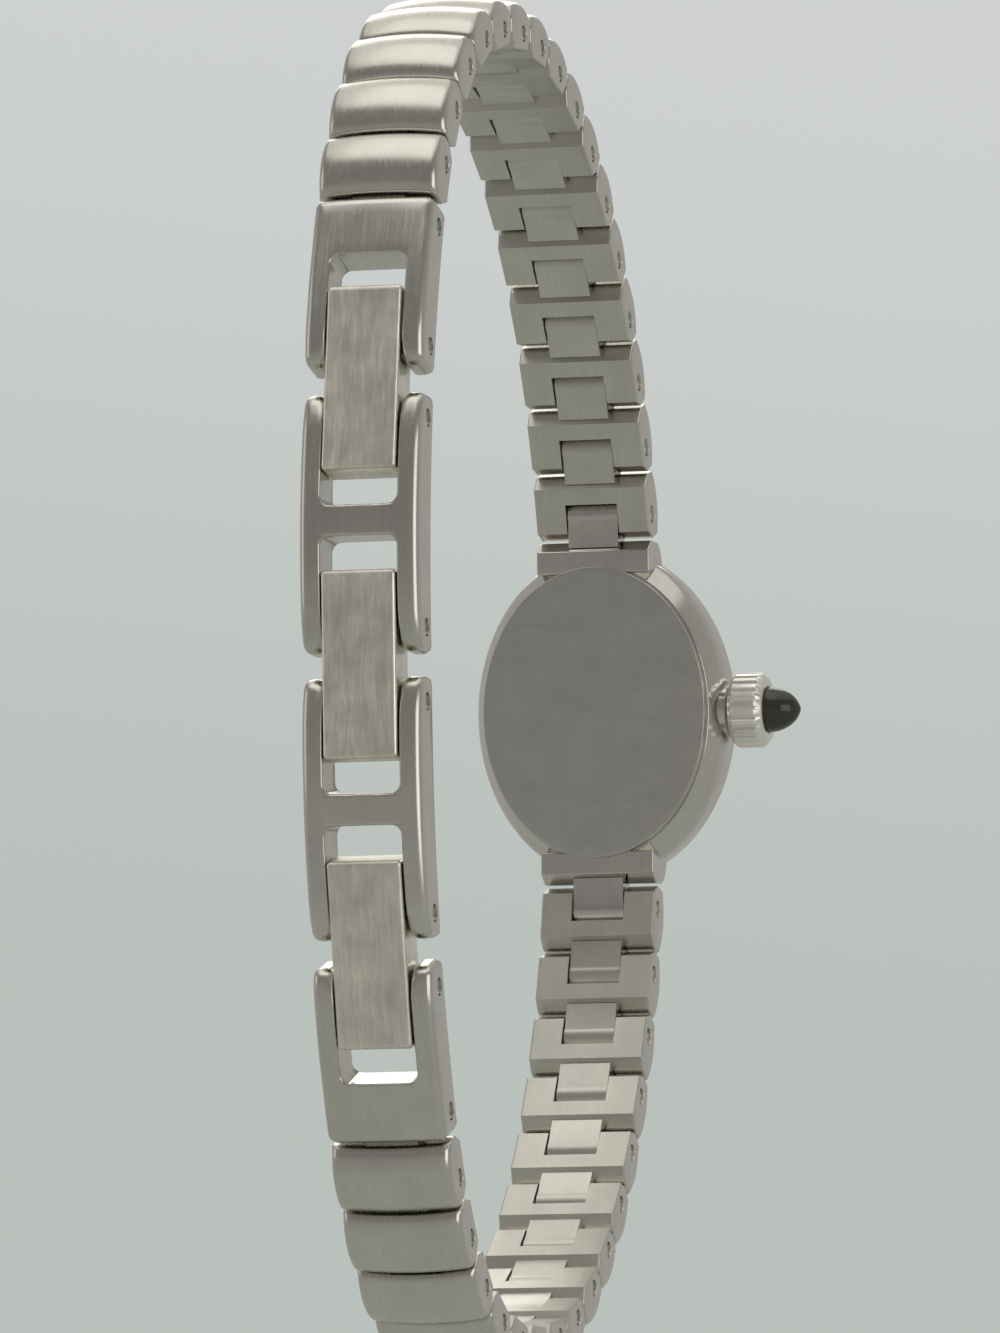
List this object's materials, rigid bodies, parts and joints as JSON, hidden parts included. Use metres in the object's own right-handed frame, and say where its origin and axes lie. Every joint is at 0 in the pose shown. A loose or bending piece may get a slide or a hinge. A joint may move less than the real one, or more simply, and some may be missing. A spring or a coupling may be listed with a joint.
{
  "type": "quartz bracelet watch",
  "caption": "Slim steel bracelet watch closed into its loop: small oval head, fluted crown, domed links and a clasp side of open frames joined by bars.",
  "frame": {"origin": "middle of the wrist opening, at the height of the clasp's middle bar", "axes": "+X along the wrist axis towards the crown, +Y from the clasp side to the dial side of the head, +Z along the band upwards at the clasp (12 o'clock on the dial points to -Z)"},
  "size_m": [0.0168, 0.0488, 0.0676],
  "materials": {
    "satin_steel": "fine satin faces with polished rounded edges",
    "brushed_bar": "straight lengthwise brushing with polished bevels",
    "polished_steel": "polished steel",
    "back_steel": "satin steel, plain",
    "gasket": "matt black seal",
    "crystal": "clear domed crystal",
    "dial": "off-white enamel with raised polished markers",
    "hands": "polished steel",
    "movement": "plain gilt brass",
    "cell": "bright steel cell, plain",
    "board": "green board with black chip and steel quartz can",
    "coil": "enamelled copper winding on a steel core and stator",
    "train_brass": "cut brass wheels",
    "train_steel": "plain steel",
    "cabochon": "dark polished cabochon"
  },
  "bodies": {
    "head": {"case": "polished_steel", "caseback": "back_steel", "caseback_gasket": "gasket", "crystal": "crystal", "dial": "dial", "movement_plate": "movement", "movement_bridge": "movement", "battery": "cell", "circuit_board": "board", "coil": "coil"},
    "hour": {"hour_hand": "hands", "hour_wheel": "train_brass"},
    "minute": {"minute_hand": "hands", "centre_wheel": "train_brass"},
    "minute_wheel": {"minute_wheel": "train_brass"},
    "intermediate": {"intermediate_wheel": "train_brass"},
    "rotor": {"rotor": "train_steel"},
    "setting": {"setting_lever": "train_steel"},
    "winding": {"stem": "train_steel", "crown": "polished_steel", "cabochon": "cabochon"},
    "upper_link_01": {"upper_link_01": "satin_steel"},
    "upper_link_02": {"upper_link_02": "satin_steel"},
    "upper_link_03": {"upper_link_03": "satin_steel"},
    "upper_link_04": {"upper_link_04": "satin_steel"},
    "upper_link_05": {"upper_link_05": "satin_steel"},
    "upper_link_06": {"upper_link_06": "satin_steel"},
    "upper_link_07": {"upper_link_07": "satin_steel"},
    "upper_link_08": {"upper_link_08": "satin_steel"},
    "upper_link_09": {"upper_link_09": "satin_steel"},
    "upper_link_10": {"upper_link_10": "satin_steel"},
    "upper_link_11": {"upper_link_11": "satin_steel"},
    "upper_link_12": {"upper_link_12": "satin_steel"},
    "upper_link_13": {"upper_link_13": "satin_steel"},
    "upper_link_14": {"upper_link_14": "satin_steel"},
    "upper_link_15": {"upper_link_15": "satin_steel"},
    "upper_link_16": {"upper_link_16": "satin_steel"},
    "lower_link_01": {"lower_link_01": "satin_steel"},
    "lower_link_02": {"lower_link_02": "satin_steel"},
    "lower_link_03": {"lower_link_03": "satin_steel"},
    "lower_link_04": {"lower_link_04": "satin_steel"},
    "lower_link_05": {"lower_link_05": "satin_steel"},
    "lower_link_06": {"lower_link_06": "satin_steel"},
    "lower_link_07": {"lower_link_07": "satin_steel"},
    "lower_link_08": {"lower_link_08": "satin_steel"},
    "lower_link_09": {"lower_link_09": "satin_steel"},
    "lower_link_10": {"lower_link_10": "satin_steel"},
    "lower_link_11": {"lower_link_11": "satin_steel"},
    "lower_link_12": {"lower_link_12": "satin_steel"},
    "lower_link_13": {"lower_link_13": "satin_steel"},
    "lower_link_14": {"lower_link_14": "satin_steel"},
    "lower_link_15": {"lower_link_15": "satin_steel"},
    "lower_link_16": {"lower_link_16": "satin_steel"},
    "frame_1": {"frame_1": "satin_steel"},
    "frame_2": {"frame_2": "satin_steel"},
    "frame_3": {"frame_3": "satin_steel"},
    "frame_4": {"frame_4": "satin_steel"},
    "bar_1": {"bar_1": "brushed_bar"},
    "bar_2": {"bar_2": "brushed_bar"},
    "bar_3": {"bar_3": "brushed_bar"}
  },
  "joints": [
    {"name": "bracelet_open", "type": "hinge", "parent": "head", "child": "lower_link_16", "pos_m": [0, 0.02058, -0.01004], "axis": [1, 0, 0], "range_deg": [0, 15.86]},
    {"name": "lower_link_15_hinge", "type": "hinge", "parent": "lower_link_16", "child": "lower_link_15", "pos_m": [0, 0.01963, -0.01336], "axis": [1, 0, 0], "range_deg": [0, 5.79]},
    {"name": "lower_link_14_hinge", "type": "hinge", "parent": "lower_link_15", "child": "lower_link_14", "pos_m": [0, 0.01836, -0.01657], "axis": [1, 0, 0], "range_deg": [0, 6.12]},
    {"name": "lower_link_13_hinge", "type": "hinge", "parent": "lower_link_14", "child": "lower_link_13", "pos_m": [0, 0.01675, -0.01962], "axis": [1, 0, 0], "range_deg": [0, 6.45]},
    {"name": "lower_link_12_hinge", "type": "hinge", "parent": "lower_link_13", "child": "lower_link_12", "pos_m": [0, 0.01482, -0.02247], "axis": [1, 0, 0], "range_deg": [0, 6.83]},
    {"name": "lower_link_11_hinge", "type": "hinge", "parent": "lower_link_12", "child": "lower_link_11", "pos_m": [0, 0.01255, -0.02508], "axis": [1, 0, 0], "range_deg": [0, 7.31]},
    {"name": "lower_link_10_hinge", "type": "hinge", "parent": "lower_link_11", "child": "lower_link_10", "pos_m": [0, 0.00998, -0.02737], "axis": [1, 0, 0], "range_deg": [0, 7.94]},
    {"name": "lower_link_09_hinge", "type": "hinge", "parent": "lower_link_10", "child": "lower_link_09", "pos_m": [0, 0.00711, -0.02929], "axis": [1, 0, 0], "range_deg": [0, 8.73]},
    {"name": "lower_link_08_hinge", "type": "hinge", "parent": "lower_link_09", "child": "lower_link_08", "pos_m": [0, 0.00399, -0.03076], "axis": [1, 0, 0], "range_deg": [0, 9.56]},
    {"name": "lower_link_07_hinge", "type": "hinge", "parent": "lower_link_08", "child": "lower_link_07", "pos_m": [0, 0.00067, -0.03168], "axis": [1, 0, 0], "range_deg": [0, 9.88]},
    {"name": "lower_link_06_hinge", "type": "hinge", "parent": "lower_link_07", "child": "lower_link_06", "pos_m": [0, -0.00277, -0.03203], "axis": [1, 0, 0], "range_deg": [0, 8.53]},
    {"name": "lower_link_05_hinge", "type": "hinge", "parent": "lower_link_06", "child": "lower_link_05", "pos_m": [0, -0.00621, -0.03186], "axis": [1, 0, 0], "range_deg": [0, 11.54]},
    {"name": "lower_link_04_hinge", "type": "hinge", "parent": "lower_link_05", "child": "lower_link_04", "pos_m": [0, -0.00956, -0.031], "axis": [1, 0, 0], "range_deg": [0, 14.51]},
    {"name": "lower_link_03_hinge", "type": "hinge", "parent": "lower_link_04", "child": "lower_link_03", "pos_m": [0, -0.01258, -0.02934], "axis": [1, 0, 0], "range_deg": [0, 14.49]},
    {"name": "lower_link_02_hinge", "type": "hinge", "parent": "lower_link_03", "child": "lower_link_02", "pos_m": [0, -0.01509, -0.02697], "axis": [1, 0, 0], "range_deg": [0, 12.14]},
    {"name": "lower_link_01_hinge", "type": "hinge", "parent": "lower_link_02", "child": "lower_link_01", "pos_m": [0, -0.01705, -0.02413], "axis": [1, 0, 0], "range_deg": [0, 9.23]},
    {"name": "frame_4_hinge", "type": "hinge", "parent": "lower_link_01", "child": "frame_4", "pos_m": [0, -0.01853, -0.02102], "axis": [1, 0, 0], "range_deg": [0, 8.89]},
    {"name": "bar_3_hinge", "type": "hinge", "parent": "frame_4", "child": "bar_3", "pos_m": [0, -0.02026, -0.01517], "axis": [1, 0, 0], "range_deg": [0, 6.38]},
    {"name": "frame_3_hinge", "type": "hinge", "parent": "bar_3", "child": "frame_3", "pos_m": [0, -0.02088, -0.01172], "axis": [1, 0, 0], "range_deg": [0, 5.98]},
    {"name": "bar_2_hinge", "type": "hinge", "parent": "frame_3", "child": "bar_2", "pos_m": [0, -0.02161, -0.00175], "axis": [1, 0, 0], "range_deg": [0, 4.22]},
    {"name": "frame_2_hinge", "type": "hinge", "parent": "bar_2", "child": "frame_2", "pos_m": [0, -0.02161, 0.00175], "axis": [1, 0, 0], "range_deg": [0, 4.22]},
    {"name": "clasp_open", "type": "hinge", "parent": "frame_2", "child": "bar_1", "pos_m": [0, -0.02088, 0.01172], "axis": [1, 0, 0], "range_deg": [0, 110]},
    {"name": "upper_link_16_hinge", "type": "hinge", "parent": "head", "child": "upper_link_16", "pos_m": [0, 0.02058, 0.01004], "axis": [-1, 0, 0], "range_deg": [0, 15.89]},
    {"name": "upper_link_15_hinge", "type": "hinge", "parent": "upper_link_16", "child": "upper_link_15", "pos_m": [0, 0.01963, 0.01336], "axis": [-1, 0, 0], "range_deg": [0, 5.79]},
    {"name": "upper_link_14_hinge", "type": "hinge", "parent": "upper_link_15", "child": "upper_link_14", "pos_m": [0, 0.01836, 0.01657], "axis": [-1, 0, 0], "range_deg": [0, 6.12]},
    {"name": "upper_link_13_hinge", "type": "hinge", "parent": "upper_link_14", "child": "upper_link_13", "pos_m": [0, 0.01675, 0.01962], "axis": [-1, 0, 0], "range_deg": [0, 6.45]},
    {"name": "upper_link_12_hinge", "type": "hinge", "parent": "upper_link_13", "child": "upper_link_12", "pos_m": [0, 0.01482, 0.02247], "axis": [-1, 0, 0], "range_deg": [0, 6.83]},
    {"name": "upper_link_11_hinge", "type": "hinge", "parent": "upper_link_12", "child": "upper_link_11", "pos_m": [0, 0.01255, 0.02508], "axis": [-1, 0, 0], "range_deg": [0, 7.31]},
    {"name": "upper_link_10_hinge", "type": "hinge", "parent": "upper_link_11", "child": "upper_link_10", "pos_m": [0, 0.00998, 0.02737], "axis": [-1, 0, 0], "range_deg": [0, 7.94]},
    {"name": "upper_link_09_hinge", "type": "hinge", "parent": "upper_link_10", "child": "upper_link_09", "pos_m": [0, 0.00711, 0.02929], "axis": [-1, 0, 0], "range_deg": [0, 8.73]},
    {"name": "upper_link_08_hinge", "type": "hinge", "parent": "upper_link_09", "child": "upper_link_08", "pos_m": [0, 0.00399, 0.03076], "axis": [-1, 0, 0], "range_deg": [0, 9.56]},
    {"name": "upper_link_07_hinge", "type": "hinge", "parent": "upper_link_08", "child": "upper_link_07", "pos_m": [0, 0.00067, 0.03168], "axis": [-1, 0, 0], "range_deg": [0, 9.88]},
    {"name": "upper_link_06_hinge", "type": "hinge", "parent": "upper_link_07", "child": "upper_link_06", "pos_m": [0, -0.00277, 0.03203], "axis": [-1, 0, 0], "range_deg": [0, 8.53]},
    {"name": "upper_link_05_hinge", "type": "hinge", "parent": "upper_link_06", "child": "upper_link_05", "pos_m": [0, -0.00621, 0.03186], "axis": [-1, 0, 0], "range_deg": [0, 11.54]},
    {"name": "upper_link_04_hinge", "type": "hinge", "parent": "upper_link_05", "child": "upper_link_04", "pos_m": [0, -0.00956, 0.031], "axis": [-1, 0, 0], "range_deg": [0, 14.51]},
    {"name": "upper_link_03_hinge", "type": "hinge", "parent": "upper_link_04", "child": "upper_link_03", "pos_m": [0, -0.01258, 0.02934], "axis": [-1, 0, 0], "range_deg": [0, 14.49]},
    {"name": "upper_link_02_hinge", "type": "hinge", "parent": "upper_link_03", "child": "upper_link_02", "pos_m": [0, -0.01509, 0.02697], "axis": [-1, 0, 0], "range_deg": [0, 12.14]},
    {"name": "upper_link_01_hinge", "type": "hinge", "parent": "upper_link_02", "child": "upper_link_01", "pos_m": [0, -0.01705, 0.02413], "axis": [-1, 0, 0], "range_deg": [0, 9.23]},
    {"name": "frame_1_hinge", "type": "hinge", "parent": "upper_link_01", "child": "frame_1", "pos_m": [0, -0.01853, 0.02102], "axis": [-1, 0, 0], "range_deg": [0, 8.89]},
    {"name": "minute_turn", "type": "hinge", "parent": "head", "child": "minute", "pos_m": [0, 0.01948, 0], "axis": [0, -1, 0], "continuous": true},
    {"name": "hour_turn", "type": "hinge", "parent": "head", "child": "hour", "pos_m": [0, 0.01948, 0], "axis": [0, -1, 0], "continuous": true},
    {"name": "minute_wheel_turn", "type": "hinge", "parent": "head", "child": "minute_wheel", "pos_m": [0.00093, 0.01948, -0.0011], "axis": [0, -1, 0], "continuous": true},
    {"name": "intermediate_turn", "type": "hinge", "parent": "head", "child": "intermediate", "pos_m": [-0.00102, 0.01948, -0.0008], "axis": [0, -1, 0], "continuous": true},
    {"name": "rotor_turn", "type": "hinge", "parent": "head", "child": "rotor", "pos_m": [-0.00133, 0.01948, -0.00196], "axis": [0, -1, 0], "continuous": true},
    {"name": "crown_pull", "type": "slide", "parent": "head", "child": "setting", "axis": [1, 0, 0], "range_m": [0, 0.0008]},
    {"name": "crown_turn", "type": "hinge", "parent": "setting", "child": "winding", "pos_m": [0.007, 0.02191, 0], "axis": [1, 0, 0], "continuous": true}
  ],
  "couplings": [
    {"joint": "lower_link_15_hinge", "follows": "bracelet_open", "ratio": 0.36352},
    {"joint": "lower_link_14_hinge", "follows": "bracelet_open", "ratio": 0.38449},
    {"joint": "lower_link_13_hinge", "follows": "bracelet_open", "ratio": 0.40506},
    {"joint": "lower_link_12_hinge", "follows": "bracelet_open", "ratio": 0.42899},
    {"joint": "lower_link_11_hinge", "follows": "bracelet_open", "ratio": 0.45913},
    {"joint": "lower_link_10_hinge", "follows": "bracelet_open", "ratio": 0.49885},
    {"joint": "lower_link_09_hinge", "follows": "bracelet_open", "ratio": 0.54898},
    {"joint": "lower_link_08_hinge", "follows": "bracelet_open", "ratio": 0.60128},
    {"joint": "lower_link_07_hinge", "follows": "bracelet_open", "ratio": 0.62125},
    {"joint": "lower_link_06_hinge", "follows": "bracelet_open", "ratio": 0.5362},
    {"joint": "lower_link_05_hinge", "follows": "bracelet_open", "ratio": 0.72599},
    {"joint": "lower_link_04_hinge", "follows": "bracelet_open", "ratio": 0.91275},
    {"joint": "lower_link_03_hinge", "follows": "bracelet_open", "ratio": 0.91156},
    {"joint": "lower_link_02_hinge", "follows": "bracelet_open", "ratio": 0.76365},
    {"joint": "lower_link_01_hinge", "follows": "bracelet_open", "ratio": 0.58038},
    {"joint": "frame_4_hinge", "follows": "bracelet_open", "ratio": 0.55865},
    {"joint": "bar_3_hinge", "follows": "bracelet_open", "ratio": 0.40048},
    {"joint": "frame_3_hinge", "follows": "bracelet_open", "ratio": 0.37572},
    {"joint": "bar_2_hinge", "follows": "bracelet_open", "ratio": 0.26435},
    {"joint": "frame_2_hinge", "follows": "bracelet_open", "ratio": 0.26435},
    {"joint": "upper_link_16_hinge", "follows": "bracelet_open", "ratio": 1},
    {"joint": "upper_link_15_hinge", "follows": "bracelet_open", "ratio": 0.36352},
    {"joint": "upper_link_14_hinge", "follows": "bracelet_open", "ratio": 0.38449},
    {"joint": "upper_link_13_hinge", "follows": "bracelet_open", "ratio": 0.40506},
    {"joint": "upper_link_12_hinge", "follows": "bracelet_open", "ratio": 0.42899},
    {"joint": "upper_link_11_hinge", "follows": "bracelet_open", "ratio": 0.45913},
    {"joint": "upper_link_10_hinge", "follows": "bracelet_open", "ratio": 0.49885},
    {"joint": "upper_link_09_hinge", "follows": "bracelet_open", "ratio": 0.54898},
    {"joint": "upper_link_08_hinge", "follows": "bracelet_open", "ratio": 0.60128},
    {"joint": "upper_link_07_hinge", "follows": "bracelet_open", "ratio": 0.62125},
    {"joint": "upper_link_06_hinge", "follows": "bracelet_open", "ratio": 0.5362},
    {"joint": "upper_link_05_hinge", "follows": "bracelet_open", "ratio": 0.72599},
    {"joint": "upper_link_04_hinge", "follows": "bracelet_open", "ratio": 0.91275},
    {"joint": "upper_link_03_hinge", "follows": "bracelet_open", "ratio": 0.91156},
    {"joint": "upper_link_02_hinge", "follows": "bracelet_open", "ratio": 0.76365},
    {"joint": "upper_link_01_hinge", "follows": "bracelet_open", "ratio": 0.58038},
    {"joint": "frame_1_hinge", "follows": "bracelet_open", "ratio": 0.55865},
    {"joint": "hour_turn", "follows": "minute_turn", "ratio": 0.083333},
    {"joint": "minute_wheel_turn", "follows": "minute_turn", "ratio": -0.33333},
    {"joint": "intermediate_turn", "follows": "minute_turn", "ratio": -8},
    {"joint": "rotor_turn", "follows": "minute_turn", "ratio": 72}
  ]
}
